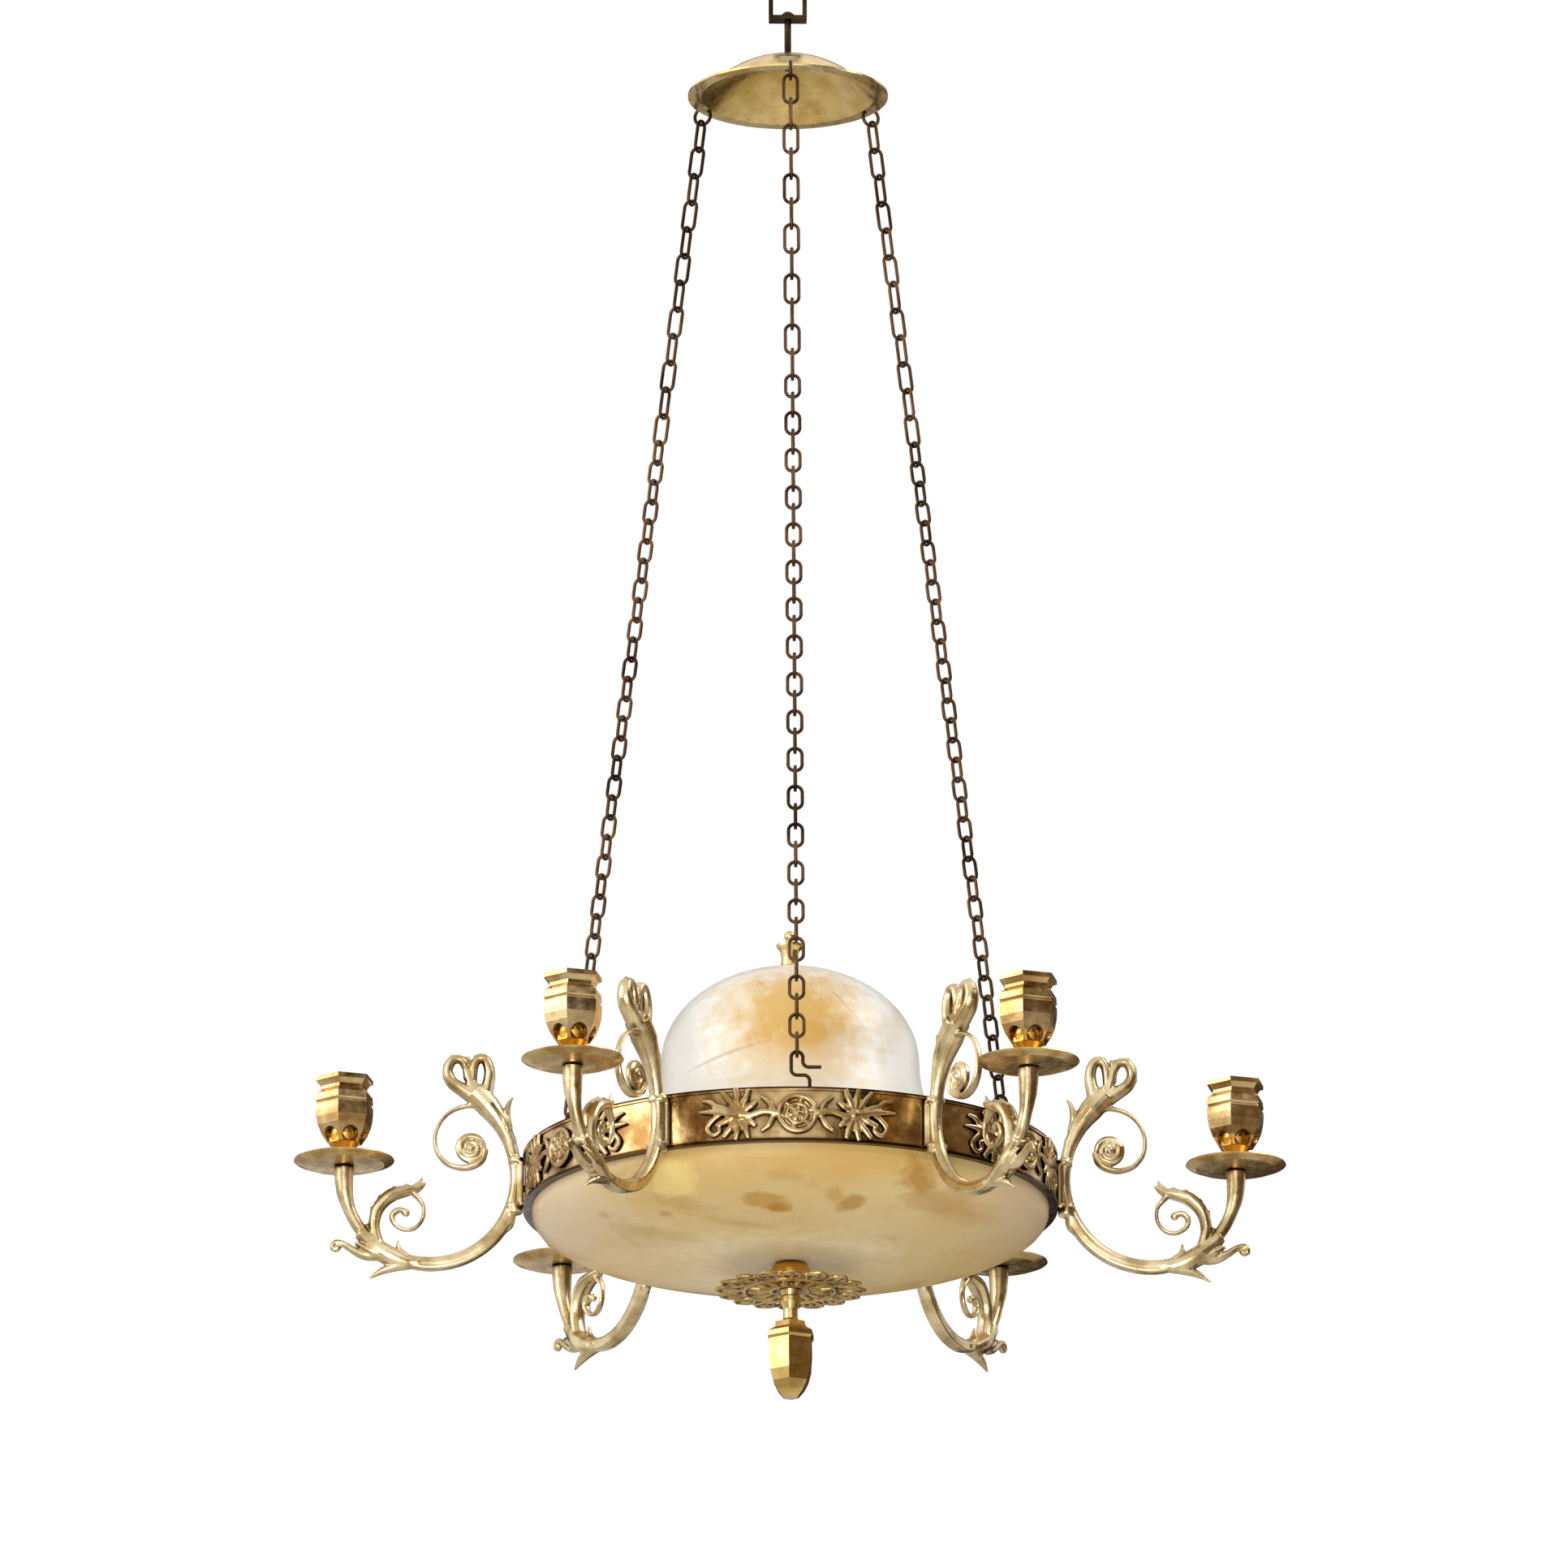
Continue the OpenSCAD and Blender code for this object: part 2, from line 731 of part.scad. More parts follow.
// A thin disc of leaves: a lobed edge, a raised ring and a hub
module leaf_disc() {
    lobes = 18;
    lobe_r = leaf_disc_r * 0.13;
    color("tan")
        translate([0, 0, disc_z - disc_t])
            difference() {
                union() {
                    cylinder(h = disc_t, r = leaf_disc_r - lobe_r, $fn = 96);
                    for (k = [0:lobes - 1])
                        rotate([0, 0, 360 / lobes * k])
                            translate([leaf_disc_r - lobe_r, 0, 0])
                                cylinder(h = disc_t - 0.5, r = lobe_r);
                }
                translate([0, 0, -1])
                    cylinder(h = disc_t + 2, r = tie_r + fit_gap);
            }
}

// The drop: a neck under the leaf disc, then a six-sided bud that tapers to a blunt tip
module drop() {
    color("goldenrod")
        translate([0, 0, drop_z])
            difference() {
                union() {
                    rotate_extrude()
                        polygon([
                            [0, 0], [8, 0], [6.6, -4], [7.6, -5], [7.4, -9],
                            [5.4, -14], [5.4, -21], [7, -24], [0, -24]
                        ]);
                    rotate([0, 0, drop_turn])
                        rotate_extrude($fn = 6)
                            polygon([
                                [0, -22], [12, -24], [12.6, -28], [drop_r, -31.5], [drop_r, -35],
                                [drop_r - 1.4, -37], [drop_r - 1.2, -drop_h * 0.6],
                                [drop_r - 2, -drop_h * 0.75], [drop_r - 4.2, -drop_h * 0.85],
                                [drop_r - 7.6, -drop_h * 0.93], [6, -drop_h], [0, -drop_h]
                            ]);
                }
                translate([0, 0, -13])
                    cylinder(h = 14, r = tie_r + run_gap);
            }
}

stirrup();
stem();
stem_nut();
canopy();
for (k = [0:2]) {
    ring(chain_turn[k]);
    chain(chain_turn[k]);
    hook(chain_turn[k]);
}
band();
for (i = [1:branch_count]) {
    ornament(ornament_turn(i));
    branch(branch_turn(i));
    pan(branch_turn(i));
    cup(branch_turn(i));
}
branch_screws();
bowl();
lid();
tie_rod();
lid_finial();
boss();
leaf_disc();
drop();
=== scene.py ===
"""Brass chandelier with six cast branches round a stone bowl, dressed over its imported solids."""

from math import cos, pi, radians, sin

import bmesh
import bpy
from mathutils import Matrix, Vector


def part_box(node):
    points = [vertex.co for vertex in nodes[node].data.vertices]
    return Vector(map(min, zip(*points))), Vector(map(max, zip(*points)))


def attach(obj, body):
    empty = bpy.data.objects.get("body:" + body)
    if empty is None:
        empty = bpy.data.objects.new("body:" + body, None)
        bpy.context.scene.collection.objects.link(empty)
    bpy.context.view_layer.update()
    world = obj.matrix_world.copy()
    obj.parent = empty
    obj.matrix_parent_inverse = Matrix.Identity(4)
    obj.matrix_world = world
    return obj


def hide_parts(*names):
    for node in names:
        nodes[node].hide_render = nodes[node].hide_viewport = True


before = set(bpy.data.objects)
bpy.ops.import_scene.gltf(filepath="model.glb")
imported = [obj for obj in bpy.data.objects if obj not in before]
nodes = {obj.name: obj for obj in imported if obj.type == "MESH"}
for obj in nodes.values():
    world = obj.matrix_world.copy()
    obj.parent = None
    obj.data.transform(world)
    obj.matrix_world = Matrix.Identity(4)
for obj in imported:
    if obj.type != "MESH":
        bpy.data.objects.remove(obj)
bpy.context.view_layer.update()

MM = 0.001
BRANCHES = range(1, 7)
SIDES = ("front", "right", "left")
ACROSS = Vector((0, 1, 0))
UP = Vector((0, 0, 1))

# The real sizes that the cast pieces are drawn to, in millimetres, and their turns in degrees
band_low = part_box("band")[0].z / MM
band_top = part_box("band")[1].z / MM
band_r = 193
branch_turns = {i: 60 * i - 30 for i in BRANCHES}
ornament_turns = {i: 60 * i for i in BRANCHES}
candle_r = 324
pan_floor = 2
cup_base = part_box("pan_1")[0].z / MM + pan_floor

# The two large arcs of a branch share one height: the lower curve, and the stem under the bud
arc_z = -19
curve_x, curve_r = 261.5, 62.5
stem_x, stem_r = 285.6, 86.6


def linear(*rgb):
    """A colour written as it looks, 0 to 255, as the values that light works with."""
    values = [(v / 255) ** 2.2 for v in rgb]
    return (*values, 1)


# The studio, in metres

def set_camera():
    """A long lens from a little under the lamp, as the photograph was taken."""
    lens = 392.7
    heading, rise, tilt = radians(-1.511), radians(16.336), radians(-0.12)
    away, height, side = 12.0, -4.14, radians(-1.53)
    data = bpy.data.cameras.new("camera")
    data.lens = lens
    data.clip_end = 100
    camera = bpy.data.objects.new("camera", data)
    upright = Matrix.Rotation(pi / 2 + rise, 4, "X")
    turn = Matrix.Rotation(heading, 4, "Z") @ upright @ Matrix.Rotation(tilt, 4, "Z")
    place = Matrix.Translation((away * sin(side), -away * cos(side), height))
    camera.matrix_world = place @ turn
    bpy.context.collection.objects.link(camera)
    bpy.context.scene.camera = camera


def background(tree, colour, strength):
    """One of the world's two backgrounds."""
    node = tree.nodes.new("ShaderNodeBackground")
    node.inputs["Color"].default_value = colour
    node.inputs["Strength"].default_value = strength
    return node.outputs[0]


def set_world():
    """White where it is seen, and a softer grey for the light that it gives."""
    world = bpy.data.worlds.new("studio")
    bpy.context.scene.world = world
    world.use_nodes = True
    tree = world.node_tree
    tree.nodes.clear()
    light = background(tree, (1, 0.98, 0.95, 1), 0.56)
    seen = background(tree, (1, 1, 1, 1), 1.0)
    path = tree.nodes.new("ShaderNodeLightPath")
    in_view = combine(tree, "MAXIMUM", path.outputs["Is Camera Ray"], path.outputs["Is Glossy Ray"])
    in_view = combine(tree, "MAXIMUM", in_view, path.outputs["Is Transmission Ray"])
    mix = tree.nodes.new("ShaderNodeMixShader")
    out = tree.nodes.new("ShaderNodeOutputWorld")
    tree.links.new(in_view, mix.inputs["Fac"])
    tree.links.new(light, mix.inputs[1])
    tree.links.new(seen, mix.inputs[2])
    tree.links.new(mix.outputs[0], out.inputs["Surface"])


def add_lamp(name, place, aim, size, power):
    """A round soft lamp: its place, what it points at, its width and its watts."""
    data = bpy.data.lights.new(name, "AREA")
    data.shape = "DISK"
    data.size = size
    data.energy = power
    lamp = bpy.data.objects.new(name, data)
    lamp.location = place
    lamp.rotation_euler = (Vector(aim) - Vector(place)).to_track_quat("-Z", "Y").to_euler()
    lamp.visible_camera = False
    bpy.context.collection.objects.link(lamp)


def set_lights():
    """Three soft lamps round the chandelier, each aimed at its middle."""
    middle = (0, 0, -0.75)
    add_lamp("key", (-4.2, -1.8, 0.7), middle, 3.0, 62)
    add_lamp("fill", (-0.9, -5.2, -2.3), middle, 2.4, 122)
    add_lamp("top", (2.8, -0.6, 1.8), middle, 2.0, 46)


def matte(name, colour):
    """A plain dull finish for the floor and the cards."""
    material = bpy.data.materials.new(name)
    material.use_nodes = True
    shader = material.node_tree.nodes["Principled BSDF"]
    shader.inputs["Base Color"].default_value = colour
    shader.inputs["Roughness"].default_value = 0.8
    return material


def add_floor():
    """A plain pale floor far below, as in a hall."""
    level, half_width = -4.6, 16
    bm = bmesh.new()
    bmesh.ops.create_grid(bm, x_segments=1, y_segments=1, size=half_width)
    bmesh.ops.translate(bm, vec=(0, 0, level), verts=bm.verts)
    finished(bm, "floor", matte("pale_floor", linear(238, 236, 232)))


def add_shade_card(name, centre, facing, width, height, colour=linear(62, 48, 34)):
    """A dark card that shows only in reflections: a painted dark reflection standing in for the unlit
    side of a room.
    """
    turn = Vector(facing).to_track_quat("Z", "Y").to_matrix().to_4x4()
    place = Matrix.Translation(centre) @ turn @ Matrix.Diagonal((width, height, 1, 1))
    bm = bmesh.new()
    bmesh.ops.create_grid(bm, x_segments=1, y_segments=1, size=0.5, matrix=place)
    card = finished(bm, name, matte(name, colour))
    card.visible_camera = False
    card.visible_diffuse = False
    card.visible_transmission = False
    card.visible_shadow = False


# Meshes

def finished(bm, name, material):
    """Turns drawn geometry into a smooth object at the origin."""
    bmesh.ops.recalc_face_normals(bm, faces=bm.faces)
    mesh = bpy.data.meshes.new(name)
    bm.to_mesh(mesh)
    bm.free()
    for polygon in mesh.polygons:
        polygon.use_smooth = True
    if material:
        mesh.materials.append(material)
    thing = bpy.data.objects.new(name, mesh)
    bpy.context.collection.objects.link(thing)
    return thing


def cast(bm, name, grain):
    """Melts overlapping bars into one skin, as a casting, with a face about every grain millimetres."""
    rough = finished(bm, name + "_rough", None)
    melt = rough.modifiers.new("melt", "REMESH")
    melt.mode = "VOXEL"
    melt.voxel_size = grain * MM
    melt.use_smooth_shade = True
    graph = bpy.context.evaluated_depsgraph_get()
    mesh = bpy.data.meshes.new_from_object(rough.evaluated_get(graph))
    bpy.data.objects.remove(rough)
    skin = bmesh.new()
    skin.from_mesh(mesh)
    bpy.data.meshes.remove(mesh)
    for _ in range(2):
        bmesh.ops.smooth_vert(skin, verts=skin.verts, factor=0.5,
                              use_axis_x=True, use_axis_y=True, use_axis_z=True)
    return skin


def smooth_line(points, steps=6):
    """A round line through given points, each (x, z) or (x, y, z) in millimetres."""
    line = [Vector(p) if len(p) == 3 else Vector((p[0], 0, p[1])) for p in points]
    ends = [line[0] * 2 - line[1]] + line + [line[-1] * 2 - line[-2]]
    out = []
    for a, b, c, d in zip(ends, ends[1:], ends[2:], ends[3:]):
        for k in range(steps):
            t = k / steps
            out.append(0.5 * (2 * b + (c - a) * t + (2 * a - 5 * b + 4 * c - d) * t ** 2
                              + (3 * b - a - 3 * c + d) * t ** 3))
    return out + [line[-1]]


def arc(x, z, r, start, end, steps):
    """Points along an arc in the upright plane, degrees from +X towards +Z."""
    angles = [radians(start + (end - start) * k / steps) for k in range(steps + 1)]
    return [Vector((x + r * cos(a), 0, z + r * sin(a))) for a in angles]


def spread(values, count):
    """Eases a few given values over a number of places."""
    out = []
    for k in range(count):
        t = k / (count - 1) * (len(values) - 1)
        i = min(int(t), len(values) - 2)
        out.append(values[i] + (values[i + 1] - values[i]) * (t - i))
    return out


def bar(bm, line, sizes, flat=1.0, sides=10, across=ACROSS):
    """Draws a bar along a line: sizes are its radii, and flat widens it across the line's plane."""
    radii = spread(sizes, len(line))
    before = None
    rim = []
    for k, (point, r) in enumerate(zip(line, radii)):
        ahead = (line[min(k + 1, len(line) - 1)] - line[max(k - 1, 0)]).normalized()
        side = across.cross(ahead).normalized()
        deep = ahead.cross(side)
        columns = (side * r, deep * r * flat, ahead)
        rows = [(*[c[row] for c in columns], point[row]) for row in range(3)]
        here = Matrix(rows + [(0, 0, 0, 1)])
        if before is None:
            made = bmesh.ops.create_circle(bm, cap_ends=True, segments=sides, radius=1, matrix=here)
            rim = list({edge for vert in made["verts"] for edge in vert.link_edges})
        else:
            made = bmesh.ops.extrude_edge_only(bm, edges=rim)
            verts = [g for g in made["geom"] if isinstance(g, bmesh.types.BMVert)]
            rim = [g for g in made["geom"] if isinstance(g, bmesh.types.BMEdge)
                   and all(v in verts for v in g.verts)]
            bmesh.ops.transform(bm, matrix=here @ before.inverted(), verts=verts)
        before = here
    bmesh.ops.contextual_create(bm, geom=rim)


def knob(bm, x, z, r, y=0, flat=1.0):
    """A ball, or a button where flat is under 1."""
    place = Matrix.Translation((x, y, z)) @ Matrix.Diagonal((1, flat, 1, 1))
    bmesh.ops.create_uvsphere(bm, u_segments=16, v_segments=10, radius=r, matrix=place)


def plate(bm, x, z, r, thick):
    """A round plate across the upright plane."""
    place = Matrix.Translation((x, 0, z)) @ Matrix.Rotation(pi / 2, 4, "X")
    bmesh.ops.create_cone(bm, cap_ends=True, segments=40, radius1=r, radius2=r, depth=thick,
                          matrix=place)


def leaflets(bm, line, first, last, count, length, turn, r):
    """Small pointed lobes on one side of a line, from its share first to its share last."""
    for k in range(count):
        t = first + (last - first) * k / max(count - 1, 1)
        i = min(int(t * (len(line) - 1)), len(line) - 2)
        ahead = (line[i + 1] - line[i]).normalized()
        side = ACROSS.cross(ahead) * (1 if turn > 0 else -1)
        out = ahead * cos(radians(abs(turn))) + side * sin(radians(abs(turn)))
        tip = line[i] + out * length
        bend = line[i] + out * length * 0.55 + ahead * length * -0.12
        bar(bm, smooth_line([line[i], bend, tip], 4), [r * 0.8, r, r * 0.75, r * 0.3], flat=1.3, sides=8)


# The branch, in its own plane: x is the distance from the lamp's axis, z the height above the band's top

def draw_branch(bm):
    """One whole branch, from the plate on the band to the pan's seat."""
    seat_z = -9.4
    rib_y, rib_r = 3.4, curve_r + 3.1
    end = [Vector((candle_r, 0, arc_z)), Vector((candle_r, 0, seat_z))]
    lower = arc(curve_x, arc_z, curve_r, 180, 352, 40) + end
    bar(bm, lower, [4.6, 5.2, 5.4, 5.2, 5.2, 5.0, 4.6, 4.4, 4.6, 7.4], flat=1.05, sides=14)
    for y in (-rib_y, rib_y):
        rib = [p + Vector((0, y, 0)) for p in arc(curve_x, arc_z, rib_r, 192, 300, 30)]
        bar(bm, rib, [0.8, 1.9, 2.0, 2.0, 1.0], sides=8)
    stem = arc(stem_x, arc_z, stem_r, 182, 130, 20)
    bar(bm, stem, [4.4, 4.4, 4.8, 6.2, 8.6, 8.4], flat=1.15, sides=14)
    draw_foot(bm)
    draw_bud(bm, stem)
    draw_volute(bm)
    draw_scroll(bm)
    draw_sheath(bm)


def draw_foot(bm):
    """The plate against the band and the collars above and below it."""
    centre, size = (195.2, 0, -22), (3.6, 14, 33)
    place = Matrix.Translation(centre) @ Matrix.Diagonal((*size, 1))
    bmesh.ops.create_cube(bm, size=1, matrix=place)
    bar(bm, [Vector((199, 0, -6)), Vector((199, 0, -2))], [6.2, 5.6], flat=1.3, sides=16)
    bar(bm, [Vector((200, 0, -44)), Vector((201, 0, -37))], [6.0, 6.4], flat=1.3, sides=16)
    bar(bm, smooth_line([(203, -44), (204, -52), (209, -59)]), [4, 3.4, 1.2], flat=1.4)


def draw_bud(bm, stem):
    """Leaves that sheathe the stem and open into two looped petals."""
    leaf_y = 3.5
    for y in (-leaf_y, leaf_y):
        leaf = [(201, y, 8), (209, y * 1.4, 27), (221, y * 1.2, 43), (231, y * 0.6, 55)]
        bar(bm, smooth_line(leaf), [1.6, 2.6, 3.2, 2.0], sides=8)
    inner_tip = smooth_line([(204, 20), (206, 31), (204, 40), (201, 44)])
    bar(bm, inner_tip, [2.6, 2.6, 1.6, 0.6], flat=1.5, sides=8)
    outer = smooth_line([(228, 42), (238, 49), (246, 55), (249, 63), (246, 71), (240, 72), (236, 66),
                         (235, 57)])
    inner = smooth_line([(223, 40), (220, 51), (218.5, 62), (221, 71), (226, 73), (229.5, 68),
                         (230.5, 58), (230, 46)])
    bar(bm, outer, [5.4, 4.8, 4.0, 3.4, 3.0, 2.6], flat=1.4)
    bar(bm, inner, [5.4, 4.6, 3.8, 3.4, 3.2, 2.6], flat=1.4)
    middle = smooth_line([(228, 40), (233, 55), (235, 66), (234, 74)])
    bar(bm, middle, [4.4, 3.2, 2.4, 1.4], flat=1.6)
    leaflets(bm, outer, first=0.08, last=0.72, count=6, length=5.2, turn=52, r=1.7)
    leaflets(bm, inner, first=0.08, last=0.72, count=6, length=4.6, turn=-52, r=1.6)
    leaflets(bm, stem, first=0.35, last=0.85, count=4, length=10, turn=-30, r=2.6)
    leaflets(bm, stem, first=0.45, last=0.95, count=3, length=11, turn=26, r=2.4)


def draw_volute(bm):
    """A thin band that winds out from under the bud and in to a flower."""
    eye_x, eye_z = 232, 5.4
    curl_start, curl_step, curl_r, narrowing = -175, -52, 9.6, 0.62
    face_y = 2.4

    def winding(turns):
        """Points (x, z) round the eye, from pairs of an angle and a radius."""
        return [(eye_x + r * cos(radians(a)), eye_z + r * sin(radians(a))) for a, r in turns]

    band = winding([(118, 31.5), (90, 32), (60, 31), (30, 28.5), (0, 25.5), (-30, 21.5), (-60, 17),
                    (-90, 14), (-130, 12.2), (-175, 11)])
    bar(bm, smooth_line(band), [2.6, 1.6, 1.3, 1.5, 1.8, 2.2, 2.4, 2.2], flat=2.0)
    plate(bm, eye_x, eye_z, 11.2, 4.6)
    curl = winding([(curl_start + curl_step * k, curl_r - k * narrowing) for k in range(15)])
    for y in (-face_y, face_y):
        bar(bm, smooth_line([(x, y, z) for x, z in curl], 4), [1.5, 1.3, 1.1], sides=8)
        knob(bm, eye_x, eye_z, 2.2, y)


def draw_scroll(bm):
    """A leaf that rises from the lower curve and rolls over, with a thin curl inside."""
    blade = smooth_line([(293, -77), (299, -66), (302, -53), (299, -40), (290, -30.5), (279, -27),
                         (270, -25), (264.5, -20.5)])
    bar(bm, blade, [3.2, 4.2, 4.2, 4.6, 5.0, 4.2, 2.6, 0.7], flat=1.5)
    leaflets(bm, blade, first=0.15, last=0.9, count=8, length=8.5, turn=40, r=1.6)
    curl = smooth_line([(273, -29), (266.8, -37), (266.6, -47), (272, -54.5), (280, -56), (287, -52),
                        (289, -46), (285, -41.5), (279.5, -42)])
    bar(bm, curl, [2.2, 1.4, 1.4, 1.5, 1.6, 2.0, 2.2, 1.8], flat=1.8)
    knob(bm, 279, -43.4, 3.0)


def draw_sheath(bm):
    """The acanthus collar on the lower curve, with its side leaves and the tips that leave it."""
    sleeve = arc(curve_x, arc_z, curve_r + 1.5, -76, -38, 14)
    bar(bm, sleeve, [5.2, 6.6, 7.4, 7.0, 5.6, 5.0], flat=1.15, sides=14)
    hook = smooth_line([(296, -75), (308, -75.5), (318, -71), (325, -66.5), (330.5, -66), (332, -70),
                        (328.5, -72)])
    bar(bm, hook, [4.2, 3.6, 2.8, 2.2, 2.0, 2.0, 1.6], flat=1.3)
    knob(bm, 328.5, -70, 2.6)
    spike = smooth_line([(270, -80.5), (285, -83.5), (296, -87), (305, -92.5)])
    bar(bm, spike, [4.4, 3.6, 2.6, 0.7], flat=1.4)
    thorn = smooth_line([(279, -76), (284, -71), (284.5, -64)])
    bar(bm, thorn, [3, 2.2, 0.7], flat=1.5)
    leaf_y = 4.5
    for y in (-leaf_y, leaf_y):
        long_leaf = [(276, y * 0.8, -79), (290, y, -76), (302, y, -66), (309, y * 0.6, -56)]
        bar(bm, smooth_line(long_leaf), [1.6, 2.6, 2.6, 1.0], sides=8)
        low_leaf = [(284, y * 0.6, -82), (298, y, -76), (308, y, -71), (316, y * 0.6, -66)]
        bar(bm, smooth_line(low_leaf), [1.4, 2.4, 2.2, 0.8], sides=8)


def from_plane(bm):
    """Turns the branch's plane, drawn towards +X, to the front."""
    bmesh.ops.rotate(bm, cent=(0, 0, 0), matrix=Matrix.Rotation(-pi / 2, 3, "Z"), verts=bm.verts)


# The ornament, drawn flat: x runs along the band, z up, and -y is out; then it is bent round the band

def relief(bm, points, sizes, lift):
    """A half-sunk bar of the relief."""
    least_lift, flat = 0.8, 0.8
    line = [Vector((p.x, -lift - least_lift, p.z)) for p in smooth_line(points, 5)]
    bar(bm, line, sizes, flat=flat, sides=8)


def draw_ornament(bm):
    """A rosette of rings and buttons, with a spray of leaves to either side."""
    rings = ((13.0, 1.9, 1.2), (7.2, 1.2, 0.8))
    for r, thick, lift in rings:
        relief(bm, [(p.x, p.z) for p in arc(0, 0, r, 0, 360, 20)], [thick, thick], lift)
    plate(bm, 0, 0, 11.5, 1.6)
    knob(bm, 0, 0, 2.6, -1.6, 0.8)
    petals, outer_r, inner_r = 6, 9.9, 4.4
    for k in range(petals):
        a = radians(360 / petals * k + 15)
        knob(bm, outer_r * cos(a), outer_r * sin(a), 1.8, -1.2, 0.8)
        knob(bm, inner_r * cos(a), inner_r * sin(a), 1.6, -1.4, 0.8)
    for side in (-1, 1):
        draw_spray(bm, side)


def draw_spray(bm, side):
    """Stem, palmette and end leaf to one side of the rosette."""
    def stroke(points, sizes, lift=0.4):
        relief(bm, [(side * x, z) for x, z in points], sizes, lift)

    stem = [(14, 0), (24, 1.5), (34, -1), (46, 0.5), (58, 3), (72, 3.5)]
    stroke(stem, [2.6, 2.4, 2.6, 3.0, 2.8, 1.0], 0.8)
    stroke([(17, 2), (20, 8), (26, 13)], [2.2, 2.4, 1.2])
    stroke([(17, -2), (20, -8), (26, -13)], [2.2, 2.4, 1.2])
    palmette_x, root_r = 42, 3
    angles_and_lengths = ((24, 16), (56, 18), (86, 17), (116, 18), (148, 15),
                          (-24, 15), (-56, 17), (-86, 16), (-116, 17), (-148, 14))
    for a, length in angles_and_lengths:
        c, s = cos(radians(a)), sin(radians(a))
        x, z = palmette_x + root_r * c, root_r * s
        middle = (x + length * 0.5 * c, z + length * 0.55 * s)
        tip = (x + length * 0.92 * c + 1.2, z + length * s)
        stroke([(x, z), middle, tip], [1.7, 2.8, 1.9])
    knob(bm, side * 41, 0, 4.2, -1.4, 0.7)
    curl = [(55, 1), (61, -3), (65, -9), (61, -14), (55.5, -11), (58, -7)]
    stroke(curl, [1.8, 2.1, 2.1, 2.0, 1.7, 1.6])
    stroke([(57, 4), (62, 10), (69, 12)], [2.0, 2.4, 1.2])


def bend_round_band(bm):
    """Wraps a flat drawing round the band's outside, with its middle at the front."""
    clearance = 0.2
    for vert in bm.verts:
        turn = vert.co.x / band_r
        out = band_r + clearance - vert.co.y
        vert.co = Vector((out * sin(turn), -out * cos(turn), vert.co.z))


# The leaf disc, drawn round the axis with z up from its upper face

def flat_stroke(bm, turn, points, sizes):
    """A bar on the underside: points are (distance from the axis, sideways, height)."""
    spin = Matrix.Rotation(radians(turn), 3, "Z")
    bar(bm, [spin @ p for p in smooth_line(points, 4)], sizes, sides=8, across=UP)


def draw_leaf_disc(bm):
    """A middle plate, three rings, and round them lobes and leaves with air between."""
    hub_r, hub_z, hub_thick = 17, -1.1, 1.6
    bmesh.ops.create_cone(bm, cap_ends=True, segments=72, radius1=hub_r, radius2=hub_r,
                          depth=hub_thick, matrix=Matrix.Translation((0, 0, hub_z)))
    rings, ring_z = ((47, 1.4), (33, 2.2), (13.5, 2.0)), -1.7
    for r, thick in rings:
        ring = [Vector((p.x, p.z, ring_z)) for p in arc(0, 0, r, 0, 360, 48)]
        bar(bm, ring, [thick, thick], sides=8, across=UP)
    lobes = 16
    for k in range(lobes):
        turn = 360 / lobes * k
        for side in (-1, 1):
            lobe = [(35, 0, -1.6), (41, 5.4 * side, -1.8), (49, 6.2 * side, -1.8), (54.4, 0, -1.6)]
            flat_stroke(bm, turn, lobe, [1.4, 1.7, 1.7, 1.3])
        flat_stroke(bm, turn, [(36, 0, -1.8), (44, 0, -2.3), (51, 0, -1.8)], [1.0, 1.8, 0.8])
        tongue = [(15, 0, -1.8), (23, 0, -2.2), (32, 0, -1.7)]
        flat_stroke(bm, turn + 180 / lobes, tongue, [1.4, 2.8, 1.2])


# Building blocks of the finishes

def new_surface(name):
    """An empty material with its Principled shader and object coordinates."""
    material = bpy.data.materials.new(name)
    material.use_nodes = True
    tree = material.node_tree
    place = tree.nodes.new("ShaderNodeTexCoord")
    return material, tree, tree.nodes["Principled BSDF"], place.outputs["Object"]


def noise(tree, place, scale, detail=4, rough=0.55, stretch=(1, 1, 1)):
    """Noise with a feature every 1/scale metres."""
    mapping = tree.nodes.new("ShaderNodeMapping")
    mapping.inputs["Scale"].default_value = stretch
    tree.links.new(place, mapping.inputs["Vector"])
    node = tree.nodes.new("ShaderNodeTexNoise")
    node.inputs["Scale"].default_value = scale
    node.inputs["Detail"].default_value = detail
    node.inputs["Roughness"].default_value = rough
    tree.links.new(mapping.outputs[0], node.inputs["Vector"])
    return node.outputs["Fac"]


def span(tree, value, low, high, out_low=0.0, out_high=1.0):
    """Stretches a value from one range to another, held at its ends."""
    node = tree.nodes.new("ShaderNodeMapRange")
    ranges = (("From Min", low), ("From Max", high), ("To Min", out_low), ("To Max", out_high))
    for socket, number in ranges:
        node.inputs[socket].default_value = number
    tree.links.new(value, node.inputs["Value"])
    return node.outputs[0]


def blend_colours(tree, amount, first, second):
    """Mixes two colours or colour sockets by an amount from 0 to 1."""
    node = tree.nodes.new("ShaderNodeMix")
    node.data_type = "RGBA"
    tree.links.new(amount, node.inputs[0])
    for socket, colour in ((node.inputs[6], first), (node.inputs[7], second)):
        if isinstance(colour, tuple):
            socket.default_value = colour
        else:
            tree.links.new(colour, socket)
    return node.outputs[2]


def combine(tree, operation, first, second):
    """A Math node over two values or sockets."""
    node = tree.nodes.new("ShaderNodeMath")
    node.operation = operation
    for socket, value in zip(node.inputs, (first, second)):
        if isinstance(value, (int, float)):
            socket.default_value = value
        else:
            tree.links.new(value, socket)
    return node.outputs[0]


